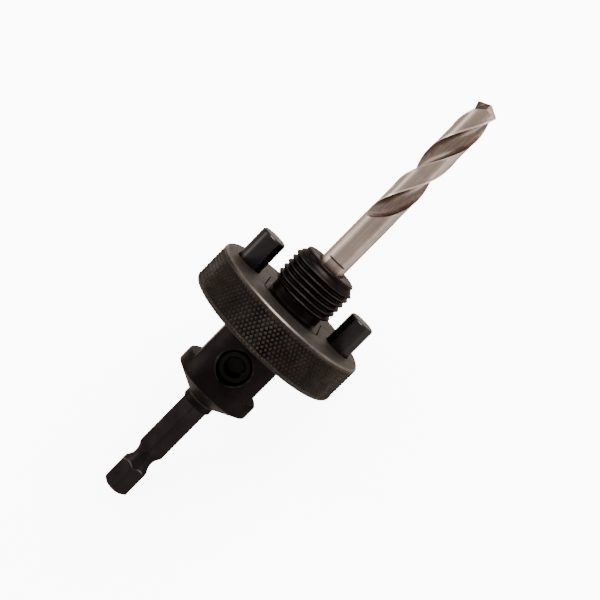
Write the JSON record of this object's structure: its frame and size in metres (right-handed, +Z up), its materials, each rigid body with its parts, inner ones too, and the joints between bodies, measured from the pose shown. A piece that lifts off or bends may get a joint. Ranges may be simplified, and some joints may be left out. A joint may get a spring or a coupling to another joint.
{
  "type": "hole saw arbor",
  "caption": "Hole saw arbor with hex shank, threaded nose, sliding knurled drive collar with drive pins, and a pilot drill held by a set screw.",
  "frame": {"origin": "on the ground, under the middle of the box that the resting tool fills", "axes": "+Z up; +X along the ground below the tool's axis, towards the drill's tip, which is raised about 19 degrees; the tool rests on the collar's rear rim and on one flat at the end of the hex shank"},
  "size_m": [0.1146, 0.04, 0.0447],
  "materials": {
    "body_black_oxide": "black oxide over turned and milled steel, satin",
    "collar_black_oxide": "black oxide over a diamond knurl and faced ends, worn brown on the face",
    "pin_black": "hardened and blacked, semi-gloss",
    "spring_steel": "drawn spring wire",
    "bright_steel": "bright ground high-speed steel",
    "screw_black": "black alloy steel"
  },
  "bodies": {
    "arbor": {"arbor_body": "body_black_oxide"},
    "collar": {"drive_collar": "collar_black_oxide", "drive_pin_a": "pin_black", "drive_pin_b": "pin_black", "retaining_ring": "spring_steel"},
    "pilot": {"pilot_drill": "bright_steel"},
    "screw": {"set_screw": "screw_black"}
  },
  "joints": [
    {"name": "collar_slide", "type": "slide", "parent": "arbor", "child": "collar", "axis": [0.9451, 0, 0.3269], "range_m": [-0.01235, 0]},
    {"name": "pilot_slide", "type": "slide", "parent": "arbor", "child": "pilot", "axis": [0.9451, 0, 0.3269], "range_m": [0, 0.035]},
    {"name": "screw_back_out", "type": "slide", "parent": "arbor", "child": "screw", "axis": [-0.2831, -0.5, 0.8184], "range_m": [0, 0.0006]}
  ]
}
